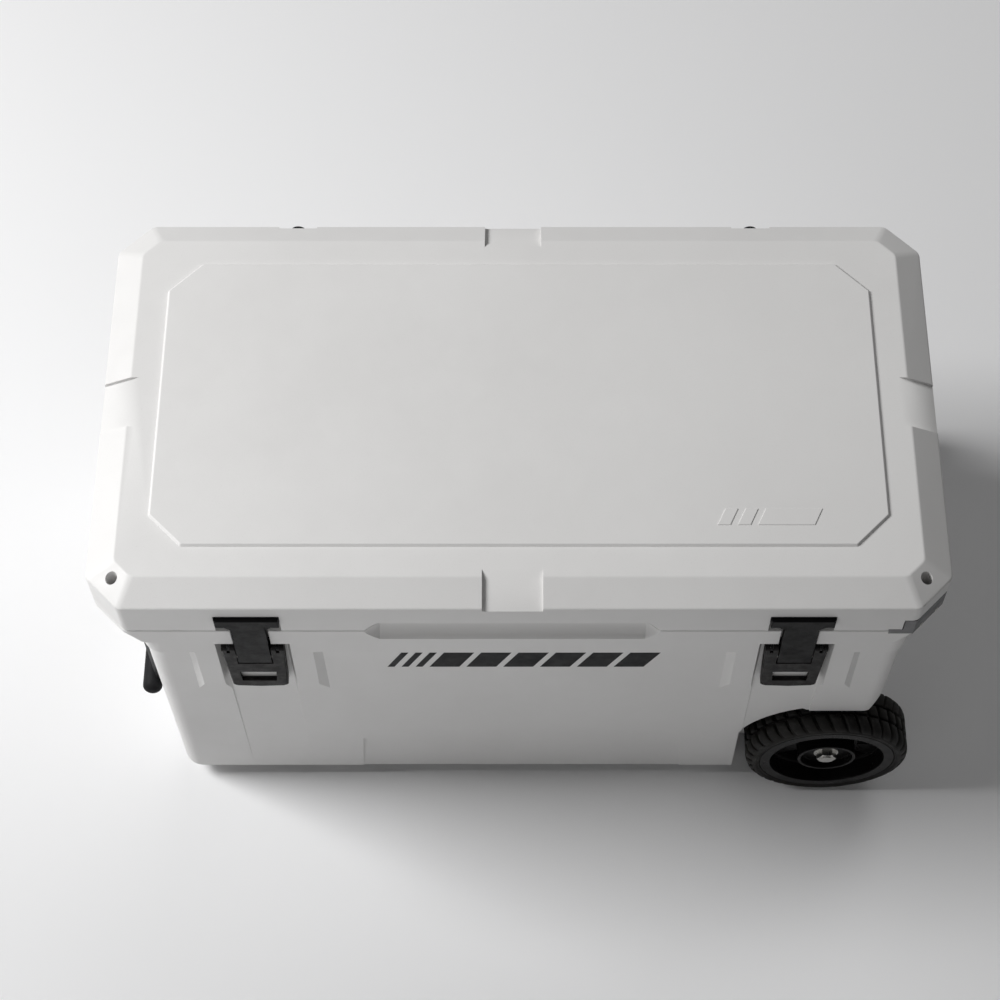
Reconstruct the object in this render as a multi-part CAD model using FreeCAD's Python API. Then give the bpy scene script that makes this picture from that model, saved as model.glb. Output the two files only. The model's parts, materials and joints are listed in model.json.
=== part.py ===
"""Wheeled hard cooler: moulded tub and lid, two over-centre latches, two wheels on an axle, and a tow handle.

Millimetres. +Z is up and z = 0 is the floor, X runs from the handle end (-) to the wheel end (+),
and the latched front faces -Y. The origin is under the middle of the lid's outline.
"""

import FreeCAD, Part
import math
import os

V = FreeCAD.Vector

# ---- driving dimensions ------------------------------------------------------------------------
LID_HALF_X = 470.0
LID_HALF_Y = 251.0
LID_CORNER = 38.0
LID_CORNER_R = 12.0
BEVEL_RUN = 32.0
TOP_Z = 515.0
BEVEL_Z = 499.0
SEAM_Z = 445.0
SEAM_GAP = 0.5
FLANGE_EDGE_Z = 438.0
FLANGE_Z = 416.0
FLANGE_TAPER = 14.0
BAND_Z = 388.0
BODY_Z = 22.0

PANEL_HALF_X = 405.5
PANEL_FRONT_Y = -184.0
PANEL_BACK_Y = 186.5
PANEL_CORNER = 38.0
PANEL_RISE = 3.0

BODY_LEFT = -422.0
BODY_RIGHT = 435.0
BODY_RIGHT_FOOT = 431.0
BODY_HALF_Y = 244.0
BODY_HALF_Y_FOOT = 241.0
BODY_CORNER_R = 24.0
SKIN = 5.0
BODY_FOOT_FILLET = 7.0
BAND_FILLET = 2.5
SEAM_FILLET = 1.5
LID_TOP_FILLET = 7.0
BEVEL_FILLET = 3.5

CAVITY_LEFT = -376.0
CAVITY_RIGHT = 387.0
CAVITY_HALF_Y = 205.0
CAVITY_FLOOR = 72.0
CAVITY_FLOOR_R = 10.0
CAVITY_R = 28.0
HUMP_X = 238.0
HUMP_HALF_Y = 160.0
HUMP_Z = 252.0
STEP_X = 345.0
STEP_Z = 150.0
LINER_LIP = 20.0
LINER_LIP_T = 4.0
FOAM_TOP_Z = 437.0
FOAM_INSET_Y = 8.0

PLUG_DEPTH = 12.0
PLUG_GAP = 9.0

NOTCH_X = -7.0
NOTCH_HALF = 33.0
NOTCH_DEPTH = 4.0
PADLOCK_X = 439.5
PADLOCK_Y = -217.5
PADLOCK_R = 6.75
SHACKLE_GROOVE_R = 9.0
SHACKLE_GROOVE_Z = 330.0

SCOOP_HALF = 162.5
SCOOP_HALF_Z = 20.5
SCOOP_DEPTH = 12.0
SCOOP_TAPER = 16.0

LATCH_XS = {"left": -296.0, "right": 308.6}
HINGE_XS = {"left": -261.0, "right": 273.0}
CHANNEL_HALF = 37.0
CHANNEL_SLOPE = 6.0
CHANNEL_DEEP_Y = -241.0
CENTRE_RECESS_Y = -238.5
PAD_WIDTH = 29.0
PAD_SLOPE = 14.0
PAD_Z = 302.0
PAD_TOE_Z = 262.0
STEM_SLOT_HALF = 21.0
LATCH_SLOT_Z = 410.0
BACKSTOP_Y = -249.0
BACKSTOP_HALF = 24.0
BACKSTOP_LOW_Z = 313.0
BACKSTOP_TOP_Z = 359.0

LEVER_HALF_TOP = 35.0
LEVER_HALF_FOOT = 31.7
LEVER_R = 5.5
LEVER_PIVOT_Y = -250.0
LEVER_PIVOT_Z = 402.5
LEVER_FOOT_Z = 306.0
LEVER_POCKET_Y = -251.0
HOOK_PIVOT_Y = -251.5
HOOK_PIVOT_Z = 381.5
STEM_HALF = 18.75
STEM_FRONT_Y = -256.0
STEM_BACK_Y = -249.0
HEAD_HALF = 35.0
HEAD_BACK_Y = -245.0
HEAD_LOW_Z = 462.0
HEAD_TOP_Z = 479.0
LID_NOTCH_HALF = 36.0
LID_NOTCH_Y = -243.0
LID_NOTCH_Z = 481.0
EAR_IN = 26.0
EAR_OUT = 29.0
EAR_GAP = 0.4
EAR_R = 4.5
BRACKET_HALF = 33.0
BRACKET_T = 2.5
BRACKET_LOW_Z = 393.0
BRACKET_TOP_Z = 409.0
LEVER_PIN_R = 2.5
LEVER_PIN_REACH = 33.0
HOOK_PIN_R = 2.0
HOOK_PIN_REACH = 27.0
RECESS_HALF = 20.0
RECESS_DROP = 13.0
SLOT_TOP = (21.0, 346.0)
SLOT_FOOT = (19.5, 322.0)

HINGE_Y = 252.0
HINGE_Z = 445.0
KNUCKLE_R = 8.0
KNUCKLE_HALF = 8.5
HINGE_HALF = 21.5
POCKET_HALF = 22.5
POCKET_R = 9.5
LEAF_T = 4.0
LEAF_REACH = 26.0
TONGUE_TOP_Z = 499.5
PIN_R = 2.5

WHEEL_X = 378.0
WHEEL_R = 99.0
WHEEL_OUT_Y = 265.0
WHEEL_WIDTH = 62.0
RIM_R = 82.0
RIM_OPEN_R = 69.5
WELL_R = 116.0
WELL_X = 268.0
WELL_Y = 195.0
FENDER_Z = 204.0
AXLE_R = 8.0
BUSH_GAP = 0.05
RUN_GAP = 0.3
ARCH_RUN = 40.0
FENDER_FOOT_X = 417.0
FENDER_TIP_X = 437.0
FENDER_TIP_Z = 262.0
HUB_R = 20.0
HUB_INSET = 4.0
BUSH_R = 12.0
BUSH_LENGTH = 16.0
CUP_R = 35.5
CUP_IN_R = 31.5
CUP_DEPTH = 9.5
WEB_INSET = 24.0
WEB_T = 7.0
SPOKES = 5
WINDOW_REACH = 140.0
WINDOW_HALF = 58.0
HUB_FACE = WHEEL_OUT_Y - HUB_INSET - CUP_DEPTH
WASHER_T = 2.0
WASHER_R = 15.0
NUT_T = 8.0
NUT_FLATS = 21.0
NUT_FACE_R = 10.9
AXLE_PLATE_HALF = 32.0
AXLE_PLATE_T = 3.0
SPACER_T = 4.6

HANDLE_X = -434.0
HANDLE_Z = 392.0
HANDLE_ARM_Y = 196.0
HANDLE_ARM_HALF = 15.0
GRIP_X = -436.5
GRIP_Z = 220.0
GRIP_R = 11.5
GRIP_HALF = 225.0
FRAME_TUBE_R = 7.0
PIVOT_BOLT_R = 4.0
ARM_IN_X = -424.6
ARM_OUT_X = -431.0
HANDLE_EAR_IN = 15.6
HANDLE_EAR_OUT = 19.6
HANDLE_EAR_R = 8.0

DRAIN_Z = 86.0
DRAIN_R = 11.0
DRAIN_FLANGE_R = 19.0
DRAIN_FLANGE_T = 4.0
DRAIN_BORE_R = 7.5
PLUG_R = 7.0
KNOB_R = 16.0
KNOB_T = 12.0

FOOT_X = -372.0
FOOT_Y = 180.0
FOOT_R = 22.0
FOOT_TOP_R = 26.0

PAST = 5.0
FAR = 500.0

FACET = LID_CORNER * math.sqrt(2)
FACET_X = LID_HALF_X - LID_CORNER
PLATE_T = 3.0
PLATE_LOW_Z = 439.0
PLATE_TOP_Z = 470.5
PLATE_FRONT_X = 420.0
PLATE_END = FACET - 3.0
STRIP_X = 405.0
STRIP_TOP_Z = 449.0

GASKET_TOP = SEAM_Z + 4.0
GASKET_OUT = 16.0
GASKET_IN = 8.0


# ---- helpers -----------------------------------------------------------------------------------
def box(x0, x1, y0, y1, z0, z1):
    return Part.makeBox(x1 - x0, y1 - y0, z1 - z0, V(x0, y0, z0))


def rod_x(radius, x0, x1, y, z):
    return Part.makeCylinder(radius, x1 - x0, V(x0, y, z), V(1, 0, 0))


def rod_y(radius, y0, y1, x, z):
    return Part.makeCylinder(radius, y1 - y0, V(x, y0, z), V(0, 1, 0))


def rod_z(radius, z0, z1, x, y):
    return Part.makeCylinder(radius, z1 - z0, V(x, y, z0))


def fuse(shapes):
    whole = shapes[0]
    for shape in shapes[1:]:
        whole = whole.fuse(shape)
    return whole.removeSplitter()


def cut(shape, tools):
    for tool in tools:
        shape = shape.cut(tool)
    return shape


def prism(points, travel):
    """A polygon given by its corners, pushed along the travel vector."""
    return Part.Face(Part.makePolygon([V(*p) for p in points] + [V(*points[0])])).extrude(V(*travel))


def slab_x(profile, x0, x1):
    """A (y, z) outline pushed along X."""
    return prism([(x0, y, z) for y, z in profile], (x1 - x0, 0, 0))


def rounded_wire(corners, radius, z):
    """A closed outline at height z with every corner rounded."""
    count = len(corners)
    arcs = []
    for i in range(count):
        tip = V(corners[i][0], corners[i][1], z)
        back = (V(corners[i - 1][0], corners[i - 1][1], z) - tip).normalize()
        ahead = (V(corners[(i + 1) % count][0], corners[(i + 1) % count][1], z) - tip).normalize()
        half = back.getAngle(ahead) / 2
        centre = tip + (back + ahead).normalize() * (radius / math.sin(half))
        reach = radius / math.tan(half)
        middle = centre + (tip - centre).normalize() * radius
        arcs.append((tip + back * reach, middle, tip + ahead * reach))
    edges = []
    for i in range(count):
        start, middle, end = arcs[i]
        edges.append(Part.Arc(start, middle, end).toShape())
        edges.append(Part.LineSegment(end, arcs[(i + 1) % count][0]).toShape())
    return Part.Wire(edges)


def octagon(half_x, y0, y1, corner):
    return [
        (-half_x + corner, y0), (half_x - corner, y0), (half_x, y0 + corner), (half_x, y1 - corner),
        (half_x - corner, y1), (-half_x + corner, y1), (-half_x, y1 - corner), (-half_x, y0 + corner),
    ]


def rectangle(x0, x1, y0, y1):
    return [(x0, y0), (x1, y0), (x1, y1), (x0, y1)]


def between(low, high):
    return Part.makeLoft([low, high], True, True)


def raised(wire, height):
    return Part.Face(wire).extrude(V(0, 0, height))


def fillet_level(shape, radius, z, tolerance=0.01):
    """Rounds the edges that lie flat at height z."""
    chosen = [
        e for e in shape.Edges
        if abs(e.BoundBox.ZMin - z) < tolerance and abs(e.BoundBox.ZMax - z) < tolerance
    ]
    return shape.makeFillet(radius, chosen)


def face_edges(shape, y, tolerance=0.01):
    """The edges that lie in the plane at y."""
    return [
        e for e in shape.Edges
        if abs(e.BoundBox.YMin - y) < tolerance and abs(e.BoundBox.YMax - y) < tolerance
    ]


def wedge_y(face_y, face, tip_y, tip):
    """A block between a rectangle (x0, x1, z0, z1) at face_y and another at tip_y."""
    wires = []
    for y, (x0, x1, z0, z1) in ((face_y, face), (tip_y, tip)):
        wires.append(Part.makePolygon([V(x0, y, z0), V(x1, y, z0), V(x1, y, z1), V(x0, y, z1), V(x0, y, z0)]))
    return Part.makeLoft(wires, True, True)


def mirror_y(shape):
    return shape.mirror(V(0, 0, 0), V(0, 1, 0))


def hexagon(flats, x, y0, y1, z):
    across = flats / math.sqrt(3)
    points = []
    for i in range(6):
        turn = math.radians(60 * i)
        points.append((x + across * math.cos(turn), y0, z + across * math.sin(turn)))
    return prism(points, (0, y1 - y0, 0))


def pan_head(point, inward, radius=4.0, rise=2.2, shank=2.0, depth=12.0):
    """A domed screw: its head stands on the point and its shank runs inward."""
    head = Part.makeCylinder(radius, rise, point, inward * -1)
    top = [e for e in head.Edges if e.Closed and (e.CenterOfMass - point).Length > rise / 2]
    head = head.makeFillet(rise * 0.6, top)
    drive = Part.makeCylinder(radius * 0.35, rise, point - inward * (rise * 0.5), inward * -1)
    return head.cut(drive).fuse(Part.makeCylinder(shank, depth, point, inward))


def export(name, shape):
    shape.exportStep("parts/" + name + ".step")


# ---- shared cutters ----------------------------------------------------------------------------
def scoop():
    """Finger scoop across the seam: a shallow round groove with pointed ends."""
    radius = (SCOOP_DEPTH ** 2 + SCOOP_HALF_Z ** 2) / (2 * SCOOP_DEPTH)
    y = -LID_HALF_Y - radius + SCOOP_DEPTH
    half = SCOOP_HALF - SCOOP_TAPER
    end_r = radius - SCOOP_DEPTH
    middle = rod_x(radius, NOTCH_X - half, NOTCH_X + half, y, SEAM_Z)
    right = Part.makeCone(radius, end_r, SCOOP_TAPER, V(NOTCH_X + half, y, SEAM_Z), V(1, 0, 0))
    left = Part.makeCone(radius, end_r, SCOOP_TAPER, V(NOTCH_X - half, y, SEAM_Z), V(-1, 0, 0))
    return fuse([middle, right, left])


def hinge_pocket(x):
    """Room around one hinge's knuckles, in the lid's and the tub's rear edge."""
    barrel = rod_x(POCKET_R, x - POCKET_HALF, x + POCKET_HALF, HINGE_Y, HINGE_Z)
    outward = box(x - POCKET_HALF, x + POCKET_HALF, HINGE_Y, HINGE_Y + POCKET_R,
                  HINGE_Z - POCKET_R, HINGE_Z + POCKET_R)
    return barrel.fuse(outward)


def leaf_recess(x, up):
    """Seat for one hinge leaf on the rear face; the lid's is open at the top."""
    z0, z1 = (HINGE_Z, TOP_Z + PAST) if up else (HINGE_Z - LEAF_REACH - SEAM_GAP, HINGE_Z)
    return box(x - POCKET_HALF, x + POCKET_HALF, LID_HALF_Y - LEAF_T, LID_HALF_Y + PAST, z0, z1)


def padlock_hole(x):
    return rod_z(PADLOCK_R, FLANGE_Z - PAST, TOP_Z + PAST, x, PADLOCK_Y)


def corner_band(depth, low, high, front_x, end, proud=0.0):
    """A band round the front-right corner: from front_x on the front face to end, measured down the facet."""
    unit = 1 / math.sqrt(2)
    turn = math.tan(math.radians(22.5))
    face_y = -LID_HALF_Y - proud
    back_y = -LID_HALF_Y + depth
    outer_bend = (FACET_X + proud * turn, face_y, low)
    inner_bend = (FACET_X - depth * turn, back_y, low)
    end_x = FACET_X + end * unit
    end_y = -LID_HALF_Y + end * unit
    outer_end = (end_x + proud * unit, end_y - proud * unit, low)
    inner_end = (end_x - depth * unit, end_y + depth * unit, low)
    corners = [(front_x, face_y, low), outer_bend, outer_end, inner_end, inner_bend, (front_x, back_y, low)]
    return prism(corners, (0, 0, high - low))


def shackle_groove():
    """Room beside the body for a padlock's shackle below the right padlock hole."""
    return rod_z(SHACKLE_GROOVE_R, SHACKLE_GROOVE_Z, FLANGE_Z, PADLOCK_X, PADLOCK_Y)


# ---- tub ---------------------------------------------------------------------------------------
def wheel_well():
    """Room for one front wheel: a straight leading edge, an arch, and a level block over the tyre."""
    start = V(WELL_X, -LID_HALF_Y - PAST, -PAST)
    rise = math.sqrt(WELL_R ** 2 - (WHEEL_X - WELL_X) ** 2)
    arch_x = WHEEL_X - ARCH_RUN
    arch_z = WHEEL_R + math.sqrt(WELL_R ** 2 - ARCH_RUN ** 2)
    turn = math.radians(135)
    spring = V(WELL_X, start.y, WHEEL_R + rise)
    crown = V(arch_x, start.y, arch_z)
    middle = V(WHEEL_X + WELL_R * math.cos(turn), start.y, WHEEL_R + WELL_R * math.sin(turn))
    rest = [
        crown, V(arch_x + SKIN, start.y, FENDER_Z), V(FENDER_FOOT_X, start.y, FENDER_Z),
        V(FENDER_TIP_X, start.y, FENDER_TIP_Z), V(FAR, start.y, FENDER_TIP_Z), V(FAR, start.y, -PAST),
        start, spring,
    ]
    edges = [Part.Arc(spring, middle, crown).toShape()]
    for i in range(len(rest) - 1):
        edges.append(Part.LineSegment(rest[i], rest[i + 1]).toShape())
    face = Part.Face(Part.Wire(edges))
    return face.extrude(V(0, LID_HALF_Y + PAST - WELL_Y, 0))


def latch_relief(x):
    """Channel under one latch, its slot through the band, and the slot for the stem."""
    low = (x - CHANNEL_HALF, x + CHANNEL_HALF, BODY_Z - PAST, LATCH_SLOT_Z)
    wide = CHANNEL_HALF + CHANNEL_SLOPE
    mouth = (x - wide, x + wide, BODY_Z - PAST, LATCH_SLOT_Z + 2)
    channel = wedge_y(CHANNEL_DEEP_Y, low, -LID_HALF_Y - 3, mouth)
    stem = box(x - STEM_SLOT_HALF, x + STEM_SLOT_HALF, -LID_HALF_Y - 3, CHANNEL_DEEP_Y, BAND_Z, SEAM_Z)
    return fuse([channel, stem])


def latch_pads(x):
    """The two raised cheeks beside one latch, running out to a sloped toe."""
    pads = []
    for side in (-1, 1):
        near = x + side * CHANNEL_HALF
        far = near + side * PAD_WIDTH
        foot = far + side * PAD_SLOPE
        face = (min(near, foot), max(near, foot), PAD_TOE_Z, BAND_Z + 5)
        tip = (min(near, far), max(near, far), PAD_Z, BAND_Z + 5)
        pads.append(wedge_y(-BODY_HALF_Y + 4, face, -LID_HALF_Y, tip))
    return pads


def centre_recess():
    """Shallow panel low on the long face, with cut top corners and flared sides."""
    y = -BODY_HALF_Y - PAST
    low = BODY_Z - PAST
    outline = [(-196, low), (202, low), (196, 117), (171, 143), (-166, 143), (-191, 117)]
    return prism([(px, y, pz) for px, pz in outline], (0, CENTRE_RECESS_Y - y, 0))


def mouth(grow, radius, low, high):
    """An upright block with the cavity mouth's outline, grown by some amount."""
    outline = rectangle(CAVITY_LEFT - grow, CAVITY_RIGHT + grow, -CAVITY_HALF_Y - grow, CAVITY_HALF_Y + grow)
    return raised(rounded_wire(outline, radius, low), high - low)


def cavity(grow):
    """The space for ice and food, stepped over the axle and round the wheels, grown by some amount."""
    floor = CAVITY_FLOOR - grow
    space = fillet_level(mouth(grow, CAVITY_R + grow, floor, SEAM_Z + PAST), CAVITY_FLOOR_R + grow, floor)
    hump_y = HUMP_HALF_Y + grow
    humps = [
        box(HUMP_X + grow, FAR, -FAR, -hump_y, 0, HUMP_Z - grow),
        box(HUMP_X + grow, FAR, hump_y, FAR, 0, HUMP_Z - grow),
        box(STEP_X + grow, FAR, -FAR, FAR, 0, STEP_Z - grow),
    ]
    return cut(space, humps)


def backstop(x):
    """White block on the channel floor that stands in the pocket behind one lever's finger slot."""
    root = (x - BACKSTOP_HALF, x + BACKSTOP_HALF, BACKSTOP_LOW_Z, BACKSTOP_TOP_Z)
    tip = (x - BACKSTOP_HALF + 1, x + BACKSTOP_HALF - 1, BACKSTOP_LOW_Z + 3, BACKSTOP_TOP_Z - 3)
    return wedge_y(BACKSTOP_Y, tip, CHANNEL_DEEP_Y + 1, root)


def tub_outer():
    rim_plan = octagon(LID_HALF_X, -LID_HALF_Y, LID_HALF_Y, LID_CORNER)
    low_plan = octagon(LID_HALF_X - FLANGE_TAPER, -LID_HALF_Y, LID_HALF_Y, LID_CORNER)
    rim_edge = rounded_wire(rim_plan, LID_CORNER_R, FLANGE_EDGE_Z)
    flange_low = between(rounded_wire(low_plan, LID_CORNER_R, FLANGE_Z), rim_edge)
    flange_top = raised(rim_edge, SEAM_Z - SEAM_GAP - FLANGE_EDGE_Z)
    flange_top = fillet_level(flange_top, SEAM_FILLET, SEAM_Z - SEAM_GAP)
    flange = fuse([flange_low, flange_top])
    band_low = rectangle(BODY_LEFT, BODY_RIGHT, -LID_HALF_Y, LID_HALF_Y)
    band = raised(rounded_wire(band_low, BODY_CORNER_R, BAND_Z), FLANGE_Z + 8 - BAND_Z)
    band = fillet_level(band, BAND_FILLET, BAND_Z)
    foot = rectangle(BODY_LEFT, BODY_RIGHT_FOOT, -BODY_HALF_Y_FOOT, BODY_HALF_Y_FOOT)
    shoulder = rectangle(BODY_LEFT, BODY_RIGHT, -BODY_HALF_Y, BODY_HALF_Y)
    body = between(rounded_wire(foot, BODY_CORNER_R, BODY_Z), rounded_wire(shoulder, BODY_CORNER_R, BAND_Z + 8))
    body = fillet_level(body, BODY_FOOT_FILLET, BODY_Z)
    pads = latch_pads(LATCH_XS["left"]) + latch_pads(LATCH_XS["right"])
    outer = fuse([flange, band, body] + pads)
    cutters = [latch_relief(LATCH_XS["left"]), latch_relief(LATCH_XS["right"])]
    cutters += [centre_recess(), mirror_y(centre_recess()), wheel_well(), mirror_y(wheel_well()), scoop()]
    for x in HINGE_XS.values():
        cutters += [hinge_pocket(x), leaf_recess(x, False)]
    cutters += [padlock_hole(PADLOCK_X), padlock_hole(-PADLOCK_X), shackle_groove()]
    cutters.append(corner_band(PLATE_T, PLATE_LOW_Z, SEAM_Z, STRIP_X, PLATE_END, 2.0))
    return fuse([cut(outer, cutters), backstop(LATCH_XS["left"]), backstop(LATCH_XS["right"])])


def tub_foam_shape():
    """Foam between liner and outer shell, kept clear of the wheel wells, axle, drain and shackle groove."""
    low = BODY_Z + SKIN
    half_y = BODY_HALF_Y - FOAM_INSET_Y
    outline = rectangle(BODY_LEFT + SKIN, BODY_RIGHT_FOOT - SKIN, -half_y, half_y)
    block = raised(rounded_wire(outline, BODY_CORNER_R, low), FOAM_TOP_Z - low)
    well_top = HUMP_Z + 14
    clear = [
        cavity(SKIN),
        rod_x(DRAIN_R + SKIN, BODY_LEFT - PAST, CAVITY_LEFT + 20, 0, DRAIN_Z),
        rod_y(AXLE_R + 3 + SKIN, -WELL_Y, WELL_Y, WHEEL_X, WHEEL_R),
        rod_z(SHACKLE_GROOVE_R + SKIN, SHACKLE_GROOVE_Z - SKIN, SEAM_Z, PADLOCK_X, PADLOCK_Y),
    ]
    for side in (-1, 1):
        y0, y1 = sorted((side * (WELL_Y - SKIN), side * FAR))
        clear.append(box(WELL_X - 7, FAR, y0, y1, 0, well_top))
        y0, y1 = sorted((side * (WELL_Y - SKIN - 16), side * WELL_Y))
        half = AXLE_PLATE_HALF + 6
        clear.append(box(WHEEL_X - half, WHEEL_X + half, y0, y1, WHEEL_R - half, WHEEL_R + half))
    return cut(block, clear)


def drain_hole():
    return rod_x(DRAIN_R, BODY_LEFT - PAST, CAVITY_LEFT + 20, 0, DRAIN_Z)


def tub_shell(foam):
    axle_bore = rod_y(AXLE_R + 3, -WELL_Y - PAST, WELL_Y + PAST, WHEEL_X, WHEEL_R)
    rebate = mouth(LINER_LIP, CAVITY_R + LINER_LIP, SEAM_Z - SEAM_GAP - LINER_LIP_T, SEAM_Z + PAST)
    return cut(tub_outer(), [cavity(SKIN), rebate, axle_bore, drain_hole(), foam])


def tub_liner():
    """The food liner: a thin stepped tray with a lip that lies in the shell's rim."""
    rim_z = SEAM_Z - SEAM_GAP
    above = box(-FAR, FAR, -FAR, FAR, rim_z, SEAM_Z + 20)
    lip = mouth(LINER_LIP, CAVITY_R + LINER_LIP, rim_z - LINER_LIP_T, rim_z)
    return cut(fuse([cavity(SKIN).cut(above), lip]), [cavity(0), drain_hole()])


def rubber_feet():
    feet = []
    for y in (-FOOT_Y, FOOT_Y):
        foot = Part.makeCone(FOOT_R, FOOT_TOP_R, BODY_Z, V(FOOT_X, y, 0))
        foot = fillet_level(foot, 2.0, 0)
        feet.append(foot.cut(rod_z(7, -1, 8, FOOT_X, y)))
    return Part.makeCompound(feet)


def foot_screws():
    return Part.makeCompound([
        rod_z(6, 8, 12, FOOT_X, y).fuse(rod_z(3, 12, 26, FOOT_X, y)) for y in (-FOOT_Y, FOOT_Y)
    ])


# ---- lid ---------------------------------------------------------------------------------------
def bevel_notch(front):
    """A recess parallel to the bevel, for the long (front) or the short side."""
    edge = LID_HALF_Y if front else LID_HALF_X
    slope = (TOP_Z - BEVEL_Z) / BEVEL_RUN
    drop = NOTCH_DEPTH * math.sqrt(1 + slope ** 2)
    start = -edge - 10
    end = -edge + BEVEL_RUN + 14
    low_z = BEVEL_Z - 10 * slope - drop
    high_z = TOP_Z + 14 * slope - drop
    profile = [(start, low_z), (end, high_z), (end, TOP_Z + 9), (start, TOP_Z + 9)]
    if front:
        return slab_x(profile, NOTCH_X - NOTCH_HALF, NOTCH_X + NOTCH_HALF)
    half = NOTCH_HALF - 1
    return prism([(p, -half, z) for p, z in profile], (0, 2 * half, 0))


def lid_outer():
    lower = SEAM_Z + SEAM_GAP
    plan = octagon(LID_HALF_X, -LID_HALF_Y, LID_HALF_Y, LID_CORNER)
    inset = LID_CORNER - BEVEL_RUN * (2 - math.sqrt(2))
    crown = octagon(LID_HALF_X - BEVEL_RUN, -LID_HALF_Y + BEVEL_RUN, LID_HALF_Y - BEVEL_RUN, inset)
    rim = raised(rounded_wire(plan, LID_CORNER_R, lower), BEVEL_Z - lower)
    bevel = between(rounded_wire(plan, LID_CORNER_R, BEVEL_Z), rounded_wire(crown, LID_CORNER_R, TOP_Z))
    lid = fuse([rim, bevel])
    lid = fillet_level(lid, LID_TOP_FILLET, TOP_Z)
    lid = fillet_level(lid, BEVEL_FILLET, BEVEL_Z)
    lid = fillet_level(lid, SEAM_FILLET, lower)
    base = octagon(PANEL_HALF_X, PANEL_FRONT_Y, PANEL_BACK_Y, PANEL_CORNER)
    top = octagon(PANEL_HALF_X - 3, PANEL_FRONT_Y + 3, PANEL_BACK_Y - 3, PANEL_CORNER - 1.8)
    panel = between(rounded_wire(base, 4.0, TOP_Z - 1), rounded_wire(top, 3.0, TOP_Z + PANEL_RISE))
    panel = fillet_level(panel, 1.5, TOP_Z + PANEL_RISE)
    plug_high = rectangle(CAVITY_LEFT + PLUG_GAP, CAVITY_RIGHT - PLUG_GAP,
                          -CAVITY_HALF_Y + PLUG_GAP, CAVITY_HALF_Y - PLUG_GAP)
    plug_low = rectangle(CAVITY_LEFT + PLUG_GAP + 3, CAVITY_RIGHT - PLUG_GAP - 3,
                         -CAVITY_HALF_Y + PLUG_GAP + 3, CAVITY_HALF_Y - PLUG_GAP - 3)
    plug = between(rounded_wire(plug_low, 22, lower - PLUG_DEPTH), rounded_wire(plug_high, 24, lower + 2))
    plug = fillet_level(plug, 4.0, lower - PLUG_DEPTH)
    return fuse([lid, panel, plug])


def lid_foam_shape():
    plan = octagon(LID_HALF_X - 16, -LID_HALF_Y + 16, LID_HALF_Y - 16, LID_CORNER)
    crown = octagon(LID_HALF_X - 40, -LID_HALF_Y + 40, LID_HALF_Y - 40, LID_CORNER - 14)
    core = between(rounded_wire(plan, 8, SEAM_Z + 8), rounded_wire(crown, 8, TOP_Z - 9))
    holes = [rod_z(PADLOCK_R + SKIN, 400, 600, x, PADLOCK_Y) for x in (-PADLOCK_X, PADLOCK_X)]
    return cut(core, holes)


def lid_shell(foam):
    cutters = [bevel_notch(True), mirror_y(bevel_notch(True)), bevel_notch(False)]
    cutters.append(bevel_notch(False).mirror(V(0, 0, 0), V(1, 0, 0)))
    cutters += [scoop(), padlock_hole(PADLOCK_X), padlock_hole(-PADLOCK_X)]
    for x in LATCH_XS.values():
        cutters.append(box(x - LID_NOTCH_HALF, x + LID_NOTCH_HALF, -LID_HALF_Y - 3, LID_NOTCH_Y,
                           SEAM_Z - 3, LID_NOTCH_Z))
    for x in HINGE_XS.values():
        cutters += [hinge_pocket(x), leaf_recess(x, True)]
    notch = corner_band(PLATE_T + 1, SEAM_Z - 1, PLATE_TOP_Z + 1.2, PLATE_FRONT_X - 1.2, PLATE_END + 1.2, 2.0)
    strip = corner_band(PLATE_T + 1, SEAM_Z - 1, STRIP_TOP_Z + 0.8, STRIP_X - 0.8, 0, 2.0)
    cutters += [notch, strip, gasket_ring(SEAM_Z - 1, GASKET_TOP)]
    return cut(lid_outer(), cutters + [foam])


def gasket_ring(low, high):
    """The seal's groove, or the seal itself, round the cavity's mouth."""
    return mouth(GASKET_OUT, 40, low, high).cut(mouth(GASKET_IN, 32, low, high))


def lid_gasket():
    return gasket_ring(SEAM_Z - SEAM_GAP + RUN_GAP, GASKET_TOP)


# ---- hinges ------------------------------------------------------------------------------------
def hinge_leaf(x, up):
    """One leaf: the lid's has the middle knuckle, the tub's the two outer ones."""
    face_y = LID_HALF_Y
    pieces = []
    if up:
        spans = [(x - KNUCKLE_HALF, x + KNUCKLE_HALF)]
        z0, z1 = HINGE_Z, HINGE_Z + LEAF_REACH
        bore = PIN_R
        tip_z = TONGUE_TOP_Z - KNUCKLE_HALF
        pieces.append(rod_y(KNUCKLE_HALF, face_y - LEAF_T, face_y, x, tip_z))
        pieces.append(box(x - KNUCKLE_HALF, x + KNUCKLE_HALF, face_y - LEAF_T, face_y, z1 - 1, tip_z))
    else:
        spans = [(x - HINGE_HALF, x - KNUCKLE_HALF - 0.5), (x + KNUCKLE_HALF + 0.5, x + HINGE_HALF)]
        z0, z1 = HINGE_Z - LEAF_REACH, HINGE_Z
        bore = PIN_R + BUSH_GAP
    for x0, x1 in spans:
        tongue = box(x0, x1, LID_HALF_Y - LEAF_T, LID_HALF_Y, z0, z1)
        pieces += [rod_x(KNUCKLE_R, x0, x1, HINGE_Y, HINGE_Z), tongue]
    plate_z0, plate_z1 = (HINGE_Z + POCKET_R + 0.5, z1) if up else (z0, HINGE_Z - POCKET_R - 0.5)
    pieces.append(box(x - HINGE_HALF, x + HINGE_HALF, LID_HALF_Y - LEAF_T, LID_HALF_Y, plate_z0, plate_z1))
    leaf = fuse(pieces)
    return leaf.cut(rod_x(bore, x - 40, x + 40, HINGE_Y, HINGE_Z))


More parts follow.
